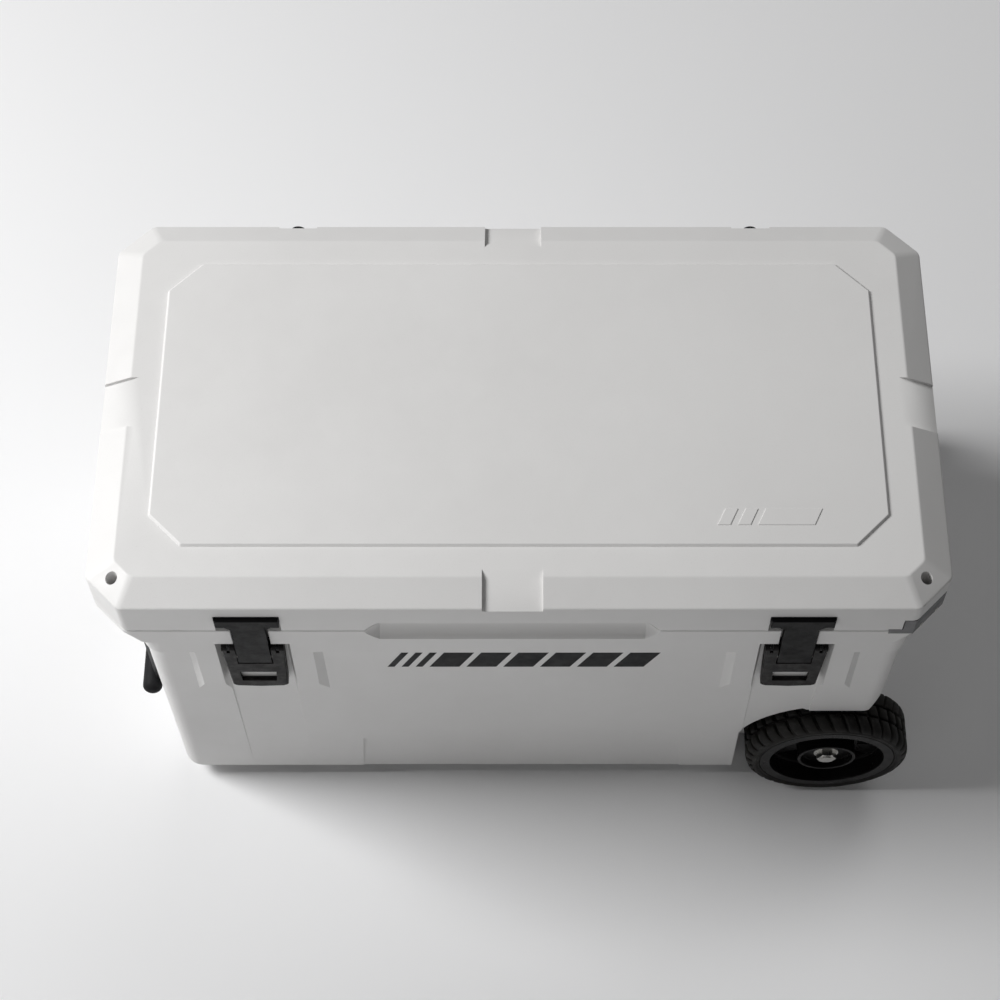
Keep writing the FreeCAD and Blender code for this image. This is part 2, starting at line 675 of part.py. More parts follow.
def hinge_pin(x):
    return rod_x(PIN_R, x - HINGE_HALF - 0.5, x + HINGE_HALF + 0.5, HINGE_Y, HINGE_Z)


def hinge_screws(up):
    z = HINGE_Z + 19 if up else HINGE_Z - 19
    screws = []
    for x in HINGE_XS.values():
        for side in (-13, 13):
            screws.append(pan_head(V(x + side, LID_HALF_Y, z), V(0, -1, 0), 3.5, 1.6, 1.8, 12))
    return Part.makeCompound(screws)


# ---- latches -----------------------------------------------------------------------------------
def latch_bracket(x):
    """Plate on the channel floor with two ears that carry the lever."""
    back = CHANNEL_DEEP_Y
    pieces = [box(x - BRACKET_HALF, x + BRACKET_HALF, back - BRACKET_T, back, BRACKET_LOW_Z, BRACKET_TOP_Z)]
    for side in (-1, 1):
        x0, x1 = sorted((x + side * EAR_IN, x + side * EAR_OUT))
        pieces.append(box(x0, x1, LEVER_PIVOT_Y, back, LEVER_PIVOT_Z - EAR_R, LEVER_PIVOT_Z + EAR_R))
        pieces.append(rod_x(EAR_R, x0, x1, LEVER_PIVOT_Y, LEVER_PIVOT_Z))
    return fuse(pieces).cut(rod_x(LEVER_PIN_R + BUSH_GAP, x - 40, x + 40, LEVER_PIVOT_Y, LEVER_PIVOT_Z))


def latch_bracket_screws():
    screws = []
    for x in LATCH_XS.values():
        for side in (-10, 10):
            screws.append(pan_head(V(x + side, CHANNEL_DEEP_Y - BRACKET_T, 402), V(0, 1, 0), 3.2, 1.2, 1.6, 12))
    return Part.makeCompound(screws)


def latch_lever(x):
    """Lever plate: rounded top on the pivot, recess for the stem, finger slot, tapered foot."""
    front = LEVER_PIVOT_Y - LEVER_R
    back = LEVER_PIVOT_Y + LEVER_R
    outline = [
        (x - LEVER_HALF_TOP, LEVER_PIVOT_Z), (x + LEVER_HALF_TOP, LEVER_PIVOT_Z),
        (x + LEVER_HALF_FOOT, LEVER_FOOT_Z + 4), (x + LEVER_HALF_FOOT - 5, LEVER_FOOT_Z + 1),
        (x, LEVER_FOOT_Z - 1), (x - LEVER_HALF_FOOT + 5, LEVER_FOOT_Z + 1),
        (x - LEVER_HALF_FOOT, LEVER_FOOT_Z + 4),
    ]
    plate = prism([(px, front, pz) for px, pz in outline], (0, back - front, 0))
    rim_edges = [e for e in face_edges(plate, front) if e.BoundBox.ZMin < LEVER_PIVOT_Z - 1]
    plate = plate.makeChamfer(1.8, rim_edges)
    barrel = rod_x(LEVER_R, x - LEVER_HALF_TOP, x + LEVER_HALF_TOP, LEVER_PIVOT_Y, LEVER_PIVOT_Z)
    lever = fuse([plate, barrel])
    cutters = [box(x - RECESS_HALF, x + RECESS_HALF, front - PAST, back + PAST,
                   HOOK_PIVOT_Z - RECESS_DROP, LEVER_PIVOT_Z + 20)]
    for side in (-1, 1):
        x0, x1 = sorted((x + side * (EAR_IN - EAR_GAP), x + side * (EAR_OUT + EAR_GAP)))
        cutters.append(box(x0, x1, front - PAST, back + PAST, LEVER_PIVOT_Z - 5.2, LEVER_PIVOT_Z + 20))
    mouth_y = front - PAST
    corners = [(half, z) for half, z in (SLOT_TOP, SLOT_FOOT)]
    outline = [(x - half, mouth_y, z) for half, z in corners]
    outline += [(x + half, mouth_y, z) for half, z in reversed(corners)]
    cutters.append(prism(outline, (0, back - mouth_y + PAST, 0)))
    cutters.append(box(x - 26, x + 26, LEVER_POCKET_Y, back + 1, BACKSTOP_LOW_Z - 3, BACKSTOP_TOP_Z + 3))
    cutters.append(rod_x(LEVER_PIN_R, x - LEVER_PIN_REACH, x + LEVER_PIN_REACH, LEVER_PIVOT_Y, LEVER_PIVOT_Z))
    cutters.append(hook_pin(x))
    return cut(lever, cutters)


def lever_pins(x):
    pins = []
    for side in (-1, 1):
        x0, x1 = sorted((x + side * (RECESS_HALF + 0.5), x + side * LEVER_PIN_REACH))
        pins.append(rod_x(LEVER_PIN_R, x0, x1, LEVER_PIVOT_Y, LEVER_PIVOT_Z))
    return Part.makeCompound(pins)


def hook_pin(x):
    return rod_x(HOOK_PIN_R, x - HOOK_PIN_REACH, x + HOOK_PIN_REACH, HOOK_PIVOT_Y, HOOK_PIVOT_Z)


def latch_hook(x):
    """T-shaped hook: eye, flat stem, and a cross head in the lid's notch."""
    eye = rod_x(4.5, x - STEM_HALF, x + STEM_HALF, HOOK_PIVOT_Y, HOOK_PIVOT_Z)
    stem = box(x - STEM_HALF, x + STEM_HALF, STEM_FRONT_Y, STEM_BACK_Y, HOOK_PIVOT_Z - 9, HEAD_LOW_Z + 2)
    head = box(x - HEAD_HALF, x + HEAD_HALF, STEM_FRONT_Y, HEAD_BACK_Y, HEAD_LOW_Z, HEAD_TOP_Z)
    head = head.makeFillet(2.0, face_edges(head, STEM_FRONT_Y))
    webs = []
    for side in (-1, 1):
        root = x + side * STEM_HALF
        web = prism([(root, STEM_FRONT_Y + 1, HEAD_LOW_Z - 7), (root + side * 7, STEM_FRONT_Y + 1, HEAD_LOW_Z),
                     (root, STEM_FRONT_Y + 1, HEAD_LOW_Z)], (0, 5, 0))
        webs.append(web)
    hook = fuse([eye, stem, head] + webs)
    return hook.cut(rod_x(HOOK_PIN_R + BUSH_GAP, x - 40, x + 40, HOOK_PIVOT_Y, HOOK_PIVOT_Z))


# ---- wheels and axle ---------------------------------------------------------------------------
def ring_y(outer, inner, y0, y1):
    return rod_y(outer, y0, y1, WHEEL_X, WHEEL_R).cut(rod_y(inner, y0 - 1, y1 + 1, WHEEL_X, WHEEL_R))


def tyre():
    """Front tyre: solid rubber with rounded shoulders, keyed on the rim."""
    y0, y1 = -WHEEL_OUT_Y, -WHEEL_OUT_Y + WHEEL_WIDTH
    body = rod_y(WHEEL_R, y0 + 2, y1 - 2, WHEEL_X, WHEEL_R)
    outer_edges = [e for e in body.Edges if e.Closed]
    body = body.makeFillet(9.0, outer_edges)
    side = ring_y(RIM_R + 8, 50, y0, y1)
    return fuse([body, side]).cut(rod_y(RIM_R, y0 - 5, y1 + 5, WHEEL_X, WHEEL_R))


def rim_window(index, y0, y1):
    """The gap between two spokes of the web."""
    tip = (WHEEL_X, y0, WHEEL_R)
    upper = (WHEEL_X + WINDOW_REACH, y0, WHEEL_R + WINDOW_HALF)
    lower = (WHEEL_X + WINDOW_REACH, y0, WHEEL_R - WINDOW_HALF)
    wedge = prism([tip, upper, lower], (0, y1 - y0, 0))
    wedge.rotate(V(WHEEL_X, 0, WHEEL_R), V(0, 1, 0), 90 + 360.0 / SPOKES * (index + 0.5))
    return ring_y(RIM_OPEN_R - 4, CUP_R + 4, y0, y1).common(wedge)


def rim():
    """Front wheel rim: barrel, dished web with windows, and a cupped hub."""
    y0, y1 = -WHEEL_OUT_Y, -WHEEL_OUT_Y + WHEEL_WIDTH
    barrel = ring_y(RIM_R, RIM_OPEN_R, y0 + 1.5, y1 - 1.5)
    web = ring_y(RIM_OPEN_R + 1, HUB_R - 1, y0 + WEB_INSET, y0 + WEB_INSET + WEB_T)
    web = cut(web, [rim_window(i, y0 + WEB_INSET - PAST, y0 + WEB_INSET + WEB_T + PAST) for i in range(SPOKES)])
    hub = ring_y(CUP_R, BUSH_R, y0 + HUB_INSET, y0 + WEB_INSET + WEB_T)
    cup = rod_y(CUP_IN_R, y0 - 1, y0 + HUB_INSET + CUP_DEPTH, WHEEL_X, WHEEL_R)
    boss = ring_y(HUB_R, BUSH_R, y0 + 20, y1)
    return fuse([barrel, web, hub.cut(cup), boss])


def wheel_bushes():
    """Plain bushes at both ends of the hub."""
    y0, y1 = -HUB_FACE, -WHEEL_OUT_Y + WHEEL_WIDTH
    outer = ring_y(BUSH_R, AXLE_R + BUSH_GAP, y0, y0 + BUSH_LENGTH)
    inner = ring_y(BUSH_R, AXLE_R + BUSH_GAP, y1 - BUSH_LENGTH, y1)
    return Part.makeCompound([outer, inner])


def axle():
    whole = rod_y(AXLE_R, -HUB_FACE, HUB_FACE, WHEEL_X, WHEEL_R)
    end = HUB_FACE + RUN_GAP + WASHER_T + NUT_T + 1.2
    thread = rod_y(AXLE_R - 1, -end, end, WHEEL_X, WHEEL_R)
    return fuse([whole, thread])


def pair_y(shape):
    return Part.makeCompound([shape, mirror_y(shape)])


def axle_washer():
    start = -HUB_FACE - RUN_GAP - WASHER_T
    return ring_y(WASHER_R, AXLE_R - 1, start, start + WASHER_T)


def axle_nut():
    start = -HUB_FACE - RUN_GAP - WASHER_T - NUT_T
    nut = hexagon(NUT_FLATS, WHEEL_X, start, start + NUT_T, WHEEL_R)
    chamfer_r = NUT_FACE_R + NUT_T * math.sqrt(3)
    chamfer = Part.makeCone(NUT_FACE_R, chamfer_r, NUT_T, V(WHEEL_X, start, WHEEL_R), V(0, 1, 0))
    return nut.common(chamfer).cut(rod_y(AXLE_R - 1, start - 1, start + NUT_T + 1, WHEEL_X, WHEEL_R))


def axle_sleeve():
    return ring_y(AXLE_R + 3, AXLE_R, -WELL_Y, WELL_Y)


def axle_plate():
    half = AXLE_PLATE_HALF
    plate = box(WHEEL_X - half, WHEEL_X + half, -WELL_Y - AXLE_PLATE_T, -WELL_Y, WHEEL_R - half, WHEEL_R + half)
    corners = [e for e in plate.Edges if e.BoundBox.YLength > AXLE_PLATE_T - 0.1]
    return plate.makeFillet(8, corners).cut(rod_y(AXLE_R, -FAR, 0, WHEEL_X, WHEEL_R))


def axle_plate_screws():
    screws = []
    for dx in (-22, 22):
        for dz in (-22, 22):
            point = V(WHEEL_X + dx, -WELL_Y - AXLE_PLATE_T, WHEEL_R + dz)
            screw = pan_head(point, V(0, 1, 0), 4.0, 2.0, 2.2, 16)
            screws += [screw, mirror_y(screw)]
    return Part.makeCompound(screws)


def axle_spacer():
    inner = -WELL_Y - AXLE_PLATE_T
    return ring_y(13, AXLE_R, inner - SPACER_T, inner)


# ---- tow handle --------------------------------------------------------------------------------
def handle_frame():
    """Two flat arms with pivot eyes, joined by a tube that carries the grip."""
    pieces = [rod_y(FRAME_TUBE_R, -GRIP_HALF + 12, GRIP_HALF - 12, GRIP_X, GRIP_Z)]
    for side in (-1, 1):
        y0, y1 = side * HANDLE_ARM_Y - HANDLE_ARM_HALF, side * HANDLE_ARM_Y + HANDLE_ARM_HALF
        pieces.append(box(ARM_OUT_X, ARM_IN_X, y0, y1, GRIP_Z - 2, HANDLE_Z + 3))
        pieces.append(rod_y(FRAME_TUBE_R, y0, y1, HANDLE_X, HANDLE_Z))
    frame = fuse(pieces)
    bores = [rod_y(PIVOT_BOLT_R + BUSH_GAP, y - 25, y + 25, HANDLE_X, HANDLE_Z)
             for y in (-HANDLE_ARM_Y, HANDLE_ARM_Y)]
    return cut(frame, bores)


def handle_grip(frame):
    grip = rod_y(GRIP_R, -GRIP_HALF, GRIP_HALF, GRIP_X, GRIP_Z)
    grip = grip.makeFillet(9.0, [e for e in grip.Edges if e.Closed])
    return grip.cut(frame)


def handle_bracket(y):
    """Wall plate with two ears; the arm's eye turns between them."""
    pieces = [box(BODY_LEFT - 2, BODY_LEFT, y - 30, y + 30, 376, 408)]
    for side in (-1, 1):
        y0, y1 = sorted((y + side * HANDLE_EAR_IN, y + side * HANDLE_EAR_OUT))
        pieces.append(box(HANDLE_X, BODY_LEFT, y0, y1, HANDLE_Z - HANDLE_EAR_R, HANDLE_Z + HANDLE_EAR_R))
        pieces.append(rod_y(HANDLE_EAR_R, y0, y1, HANDLE_X, HANDLE_Z))
    return fuse(pieces).cut(rod_y(PIVOT_BOLT_R, y - 40, y + 40, HANDLE_X, HANDLE_Z))


def handle_bracket_screws():
    screws = []
    for y in (-HANDLE_ARM_Y, HANDLE_ARM_Y):
        for side in (-25, 25):
            for z in (383, 401):
                screws.append(pan_head(V(BODY_LEFT - 2, y + side, z), V(1, 0, 0), 3.5, 2.0, 2.0, 20))
    return Part.makeCompound(screws)


def handle_bolts():
    """Pivot bolts, each with a round head and a nut outside the ears."""
    bolts = []
    for side in (-1, 1):
        y = side * HANDLE_ARM_Y
        shank = rod_y(PIVOT_BOLT_R, y - 23, y + 23, HANDLE_X, HANDLE_Z)
        head = rod_y(7, y - HANDLE_EAR_OUT - 4, y - HANDLE_EAR_OUT, HANDLE_X, HANDLE_Z)
        nut = hexagon(12, HANDLE_X, y + HANDLE_EAR_OUT, y + HANDLE_EAR_OUT + 4.4, HANDLE_Z)
        bolts.append(fuse([shank, head, nut]))
    return Part.makeCompound(bolts)


# ---- corner plate and drain --------------------------------------------------------------------
def corner_plate():
    """Lock plate bent round the front-right corner, with a low strip that runs along the front seam."""
    band = corner_band(PLATE_T - 0.3, PLATE_LOW_Z, PLATE_TOP_Z, PLATE_FRONT_X, PLATE_END)
    strip = corner_band(PLATE_T - 0.3, PLATE_LOW_Z, STRIP_TOP_Z, STRIP_X, 0)
    return fuse([band, strip])


def corner_plate_screws():
    unit = 1 / math.sqrt(2)
    screws = []
    for along in (14, FACET - 14):
        point = V(FACET_X + along * unit, -LID_HALF_Y + along * unit, PLATE_LOW_Z + 3.2)
        screws.append(pan_head(point, V(-unit, unit, 0), 2.4, 0.8, 1.3, 9))
    return Part.makeCompound(screws)


def drain_fitting():
    """Threaded drain tube through the end wall, with an outer flange."""
    inner_end = CAVITY_LEFT + 6
    tube = rod_x(DRAIN_R, BODY_LEFT, inner_end, 0, DRAIN_Z)
    flange = rod_x(DRAIN_FLANGE_R, BODY_LEFT - DRAIN_FLANGE_T, BODY_LEFT, 0, DRAIN_Z)
    return fuse([tube, flange]).cut(rod_x(DRAIN_BORE_R, BODY_LEFT - PAST, inner_end + 1, 0, DRAIN_Z))


def drain_plug():
    """Screw plug with a ribbed knob outside the flange."""
    start = BODY_LEFT - DRAIN_FLANGE_T - RUN_GAP
    knob = rod_x(KNOB_R, start - KNOB_T, start, 0, DRAIN_Z)
    knob = knob.makeFillet(2.0, [e for e in knob.Edges if e.Closed and e.CenterOfMass.x < start - 6])
    grooves = []
    for i in range(12):
        turn = math.radians(30 * i)
        out = KNOB_R + 0.6
        y, z = out * math.cos(turn), DRAIN_Z + out * math.sin(turn)
        grooves.append(rod_x(1.8, start - KNOB_T - 1, start - 2, y, z))
    stem = rod_x(PLUG_R, start - 1, start + 34, 0, DRAIN_Z)
    return cut(fuse([knob, stem]), grooves)


def drain_plug_seal():
    start = BODY_LEFT - DRAIN_FLANGE_T - RUN_GAP
    groove = rod_x(PLUG_R + 0.3, start + 26, start + 29, 0, DRAIN_Z)
    return groove.cut(rod_x(PLUG_R - 1, start + 20, start + 35, 0, DRAIN_Z))


def tub_parts():
    foam = tub_foam_shape()
    plates = pair_y(axle_plate())
    plate_screws = axle_plate_screws()
    wall_screws = handle_bracket_screws()
    latch_screws = latch_bracket_screws()
    leaf_screws = hinge_screws(False)
    lock_screws = corner_plate_screws()
    feet_screws = foot_screws()
    shell = tub_shell(foam)
    liner = tub_liner()
    every_screw = [plate_screws, wall_screws, latch_screws, leaf_screws, lock_screws, feet_screws]
    export("tub_shell", cut(shell, every_screw))
    export("tub_liner", liner)
    export("tub_foam", cut(foam, [wall_screws, latch_screws]))
    export("rubber_feet", rubber_feet().cut(feet_screws))
    export("foot_screws", feet_screws)
    export("axle", axle())
    export("axle_sleeve", axle_sleeve())
    export("axle_washers", pair_y(axle_washer()))
    export("axle_nuts", pair_y(axle_nut()))
    export("axle_plates", plates.cut(plate_screws))
    export("axle_plate_screws", plate_screws)
    export("axle_spacers", pair_y(axle_spacer()))
    for end, y in (("front", -HANDLE_ARM_Y), ("rear", HANDLE_ARM_Y)):
        export("handle_bracket_" + end, handle_bracket(y).cut(wall_screws))
    export("handle_bracket_screws", wall_screws)
    export("handle_bolts", handle_bolts())
    for side, x in LATCH_XS.items():
        export("latch_bracket_" + side, latch_bracket(x).cut(latch_screws))
    export("latch_bracket_screws", latch_screws)
    for side, x in HINGE_XS.items():
        export("hinge_leaf_tub_" + side, hinge_leaf(x, False).cut(leaf_screws))
    export("hinge_screws_tub", leaf_screws)
    export("corner_plate", corner_plate().cut(lock_screws))
    export("corner_plate_screws", lock_screws)
    export("drain_fitting", drain_fitting())


def lid_parts():
    foam = lid_foam_shape()
    screws = hinge_screws(True)
    export("lid_shell", lid_shell(foam).cut(screws))
    export("lid_foam", foam)
    export("lid_gasket", lid_gasket())
    for side, x in HINGE_XS.items():
        export("hinge_leaf_lid_" + side, hinge_leaf(x, True).cut(screws))
        export("hinge_pin_" + side, hinge_pin(x))
    export("hinge_screws_lid", screws)


def latch_parts():
    for side, x in LATCH_XS.items():
        export("latch_lever_" + side, latch_lever(x))
        export("lever_pins_" + side, lever_pins(x))
        export("hook_pin_" + side, hook_pin(x))
        export("latch_hook_" + side, latch_hook(x))


def wheel_parts():
    for end, place in (("front", lambda shape: shape), ("rear", mirror_y)):
        export("wheel_tyre_" + end, place(tyre()))
        export("wheel_rim_" + end, place(rim()))
        export("wheel_bushes_" + end, place(wheel_bushes()))


def handle_and_plug_parts():
    frame = handle_frame()
    export("handle_frame", frame)
    export("handle_grip", handle_grip(frame))
    seal = drain_plug_seal()
    export("drain_plug", drain_plug().cut(seal))
    export("drain_plug_seal", seal)


os.makedirs("parts", exist_ok=True)
tub_parts()
lid_parts()
latch_parts()
wheel_parts()
handle_and_plug_parts()
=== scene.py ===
"""Wheeled hard cooler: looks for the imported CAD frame. Metres, +Z up, -Y is the latched front."""

import json
import math

import bmesh
import bpy
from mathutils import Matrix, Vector


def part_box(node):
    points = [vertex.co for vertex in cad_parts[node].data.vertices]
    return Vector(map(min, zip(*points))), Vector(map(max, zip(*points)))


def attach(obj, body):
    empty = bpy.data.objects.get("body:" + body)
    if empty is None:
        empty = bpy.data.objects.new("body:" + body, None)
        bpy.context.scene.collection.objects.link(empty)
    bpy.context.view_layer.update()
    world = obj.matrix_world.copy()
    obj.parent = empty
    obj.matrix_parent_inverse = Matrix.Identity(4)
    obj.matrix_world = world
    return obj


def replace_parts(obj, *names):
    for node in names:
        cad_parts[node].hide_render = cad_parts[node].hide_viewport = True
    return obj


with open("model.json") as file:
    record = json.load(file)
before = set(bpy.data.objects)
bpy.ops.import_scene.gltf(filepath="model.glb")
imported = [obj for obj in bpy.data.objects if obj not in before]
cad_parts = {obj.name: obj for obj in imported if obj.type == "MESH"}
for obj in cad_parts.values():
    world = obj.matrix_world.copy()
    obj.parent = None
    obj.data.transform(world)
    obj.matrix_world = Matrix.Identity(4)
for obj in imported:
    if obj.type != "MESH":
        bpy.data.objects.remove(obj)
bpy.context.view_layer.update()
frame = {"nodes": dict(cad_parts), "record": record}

MM = 0.001
CAD_NODES = frame["nodes"]
BODY_OF = {n: body for body, members in frame["record"]["behaviour"]["bodies"].items() for n in members}
SLOT_OF = {s["node"]: s["material_slot"] for s in frame["record"]["subparts"]}


# ---- materials ---------------------------------------------------------------------------------
COAT_ROUGHNESS = 0.2


class Look:
    """A procedural material being built: a Principled shader, and nodes added one by one."""

    def __init__(self, name, color, roughness, metallic=0.0, specular=0.5, coat=0.0):
        self.material = bpy.data.materials.new(name)
        self.material.use_nodes = True
        self.tree = self.material.node_tree
        self.shader = self.tree.nodes["Principled BSDF"]
        self.shader.inputs["Base Color"].default_value = (*color, 1.0)
        self.shader.inputs["Roughness"].default_value = roughness
        self.shader.inputs["Metallic"].default_value = metallic
        self.shader.inputs["Specular IOR Level"].default_value = specular
        self.shader.inputs["Coat Weight"].default_value = coat
        self.shader.inputs["Coat Roughness"].default_value = COAT_ROUGHNESS
        self.place = self.add("ShaderNodeTexCoord").outputs["Object"]

    def add(self, kind, **settings):
        node = self.tree.nodes.new(kind)
        for key, value in settings.items():
            setattr(node, key, value)
        return node

    def link(self, source, target):
        self.tree.links.new(source, target)

    def noise(self, per_metre, detail=2.0, rough=0.5, stretch=None):
        node = self.add("ShaderNodeTexNoise")
        node.inputs["Scale"].default_value = per_metre
        node.inputs["Detail"].default_value = detail
        node.inputs["Roughness"].default_value = rough
        if stretch:
            mapping = self.add("ShaderNodeMapping")
            mapping.inputs["Scale"].default_value = stretch
            self.link(self.place, mapping.inputs["Vector"])
            self.link(mapping.outputs["Vector"], node.inputs["Vector"])
        else:
            self.link(self.place, node.inputs["Vector"])
        return node.outputs["Fac"]

    def ramp(self, source, low, high, start, end):
        """source from start to end becomes the numbers low to high."""
        node = self.add("ShaderNodeMapRange")
        node.inputs["From Min"].default_value = start
        node.inputs["From Max"].default_value = end
        node.inputs["To Min"].default_value = low
        node.inputs["To Max"].default_value = high
        self.link(source, node.inputs["Value"])
        return node.outputs["Result"]

    def mix(self, factor, first, second):
        node = self.add("ShaderNodeMix", data_type="RGBA")
        for socket, value in ((node.inputs[6], first), (node.inputs[7], second)):
            if isinstance(value, tuple):
                socket.default_value = (*value, 1.0)
            else:
                self.link(value, socket)
        self.link(factor, node.inputs[0])
        return node.outputs[2]

    def edges(self, start, end):
        """0 on flats and in hollows, 1 on outer edges."""
        geometry = self.add("ShaderNodeNewGeometry")
        return self.ramp(geometry.outputs["Pointiness"], 0.0, 1.0, start, end)

    def color(self, source):
        self.link(source, self.shader.inputs["Base Color"])

    def roughness(self, source):
        self.link(source, self.shader.inputs["Roughness"])

    def bump(self, layers):
        """layers: (height source, distance in metres), laid one on the other."""
        normal = None
        for source, distance in layers:
            node = self.add("ShaderNodeBump")
            node.inputs["Strength"].default_value = 1.0
            node.inputs["Distance"].default_value = distance
            self.link(source, node.inputs["Height"])
            if normal:
                self.link(normal, node.inputs["Normal"])
            normal = node.outputs["Normal"]
        self.link(normal, self.shader.inputs["Normal"])


def moulded_white():
    """Moulded polyethylene: satin, slightly warm, with fine orange peel, faint clouds and pale specks."""
    look = Look("moulded_white", (0.77, 0.762, 0.752), 0.42, specular=0.42)
    cloud = look.ramp(look.noise(5.0, 4.0), 0.0, 1.0, 0.35, 0.65)
    tone = look.mix(cloud, (0.765, 0.757, 0.748), (0.79, 0.783, 0.774))
    speck = look.ramp(look.noise(900.0, 1.0), 0.0, 0.5, 0.66, 0.74)
    look.color(look.mix(speck, tone, (0.70, 0.69, 0.68)))
    look.roughness(look.ramp(look.noise(38.0, 5.0, 0.6), 0.36, 0.52, 0.35, 0.65))
    look.bump([(look.noise(26.0, 2.0), 0.00025), (look.noise(520.0, 2.0), 0.00006)])
    return look.material


def grained_black(name, color, low, high, grain, depth):
    """Injection-moulded plastic with a fine grain, paler along worn edges."""
    look = Look(name, color, low, specular=0.14)
    worn = tuple(min(1.0, c * 2.4 + 0.02) for c in color)
    wear = look.add("ShaderNodeMath", operation="MULTIPLY")
    look.link(look.edges(0.53, 0.60), wear.inputs[0])
    look.link(look.ramp(look.noise(140.0, 4.0), 0.0, 0.5, 0.45, 0.62), wear.inputs[1])
    dust = look.ramp(look.noise(22.0, 5.0, 0.65), 0.0, 0.35, 0.42, 0.72)
    dusty = tuple(c * 1.6 + 0.002 for c in color)
    look.color(look.mix(wear.outputs[0], look.mix(dust, color, dusty), worn))
    look.roughness(look.ramp(look.noise(60.0, 5.0, 0.6), low, high, 0.35, 0.65))
    look.bump([(look.noise(grain, 3.0, 0.6), depth)])
    return look.material


def tyre_rubber():
    """Dusty black rubber with a faint brown bloom and mould grain."""
    look = Look("tyre_rubber", (0.013, 0.012, 0.011), 0.62, specular=0.22)
    bloom = look.ramp(look.noise(16.0, 5.0, 0.6), 0.0, 0.6, 0.40, 0.70)
    scuffs = look.ramp(look.noise(300.0, 3.0, 0.7), 0.0, 0.35, 0.55, 0.75)
    base = look.mix(bloom, (0.011, 0.0105, 0.010), (0.024, 0.022, 0.019))
    look.color(look.mix(scuffs, base, (0.050, 0.046, 0.040)))
    look.roughness(look.ramp(look.noise(45.0, 4.0), 0.50, 0.74, 0.35, 0.65))
    look.bump([(look.noise(1400.0, 3.0, 0.6), 0.00010), (look.noise(90.0, 3.0), 0.00015)])
    return look.material


def plated_steel(name, color, low, high):
    """Zinc-plated or brushed steel: fine drag marks and a clouded sheen."""
    look = Look(name, color, low, metallic=1.0)
    drag = look.noise(900.0, 3.0, 0.6, stretch=(1.0, 0.12, 1.0))
    cloud = look.noise(120.0, 3.0)
    look.color(look.mix(cloud, color, tuple(c * 0.78 for c in color)))
    look.roughness(look.ramp(drag, low, high, 0.3, 0.7))
    look.bump([(drag, 0.00003)])
    return look.material


def powder_coat(name, color):
    """Powder-coated metal: soft orange peel over a satin coat."""
    look = Look(name, color, 0.38, coat=0.15)
    cloud = look.noise(30.0, 4.0)
    look.color(look.mix(cloud, color, tuple(c * 1.35 + 0.004 for c in color)))
    look.roughness(look.ramp(look.noise(70.0, 4.0), 0.32, 0.48, 0.35, 0.65))
    look.bump([(look.noise(650.0, 2.0), 0.00008)])
    return look.material


def foam_core():
    """Cream closed-cell foam."""
    look = Look("foam_core", (0.86, 0.78, 0.55), 0.9)
    cells = look.add("ShaderNodeTexVoronoi")
    cells.inputs["Scale"].default_value = 700.0
    look.link(look.place, cells.inputs["Vector"])
    look.color(look.mix(look.noise(14.0, 4.0), (0.86, 0.79, 0.57), (0.80, 0.70, 0.46)))
    look.bump([(cells.outputs["Distance"], 0.0004)])
    return look.material


def soft_rubber(name, color, gloss):
    """Smooth elastomer with a faint skin texture."""
    look = Look(name, color, gloss, specular=0.10)
    film = look.ramp(look.noise(26.0, 5.0, 0.6), 0.0, 0.5, 0.42, 0.70)
    look.color(look.mix(film, color, tuple(c * 1.7 + 0.002 for c in color)))
    look.roughness(look.ramp(look.noise(80.0, 4.0, 0.6), gloss, gloss + 0.16, 0.35, 0.65))
    look.bump([(look.noise(420.0, 3.0), 0.00005)])
    return look.material


MATERIALS = {
    "shell": moulded_white(),
    "foam": foam_core(),
    "gasket": soft_rubber("gasket_rubber", (0.03, 0.03, 0.032), 0.55),
    "latch_lever": grained_black("lever_plastic", (0.0075, 0.0065, 0.0065), 0.38, 0.54, 900.0, 0.00006),
    "latch_hook": soft_rubber("hook_rubber", (0.0022, 0.0022, 0.0026), 0.36),
    "hinge": grained_black("hinge_plastic", (0.014, 0.014, 0.015), 0.38, 0.55, 900.0, 0.00006),
    "steel": plated_steel("zinc_plate", (0.74, 0.73, 0.70), 0.22, 0.42),
    "axle_steel": powder_coat("axle_paint", (0.05, 0.05, 0.052)),
    "tyre": tyre_rubber(),
    "rim": grained_black("rim_plastic", (0.007, 0.0065, 0.0065), 0.26, 0.42, 700.0, 0.00005),
    "bush": grained_black("bush_nylon", (0.55, 0.54, 0.50), 0.40, 0.55, 600.0, 0.00004),
    "foot": soft_rubber("foot_rubber", (0.03, 0.03, 0.03), 0.60),
    "handle_frame": powder_coat("handle_coat", (0.016, 0.016, 0.017)),
    "grip": soft_rubber("grip_rubber", (0.016, 0.016, 0.017), 0.50),
    "lock_plate": powder_coat("plate_coat", (0.085, 0.085, 0.090)),
    "drain": grained_black("drain_plastic", (0.022, 0.022, 0.024), 0.36, 0.52, 900.0, 0.00006),
    "seal": soft_rubber("seal_rubber", (0.02, 0.02, 0.02), 0.50),
}
PRINT_BLACK = soft_rubber("print_black", (0.010, 0.010, 0.011), 0.36)


# ---- mesh helpers ------------------------------------------------------------------------------
MERGE_DISTANCE = 0.02 * MM


def piece(name, mesh, body, slot, material=None):
    """A finished visible piece that rides on a body."""
    obj = bpy.data.objects.new(name, mesh)
    bpy.context.scene.collection.objects.link(obj)
    mesh.materials.clear()
    mesh.materials.append(material or MATERIALS[slot])
    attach(obj, body)
    return obj


def baked(obj, name):
    """The object's mesh with its modifiers applied; the object itself is dropped."""
    bpy.context.view_layer.update()
    mesh = bpy.data.meshes.new_from_object(obj.evaluated_get(bpy.context.evaluated_depsgraph_get()))
    mesh.name = name
    old = obj.data
    bpy.data.objects.remove(obj)
    bpy.data.meshes.remove(old)
    return mesh


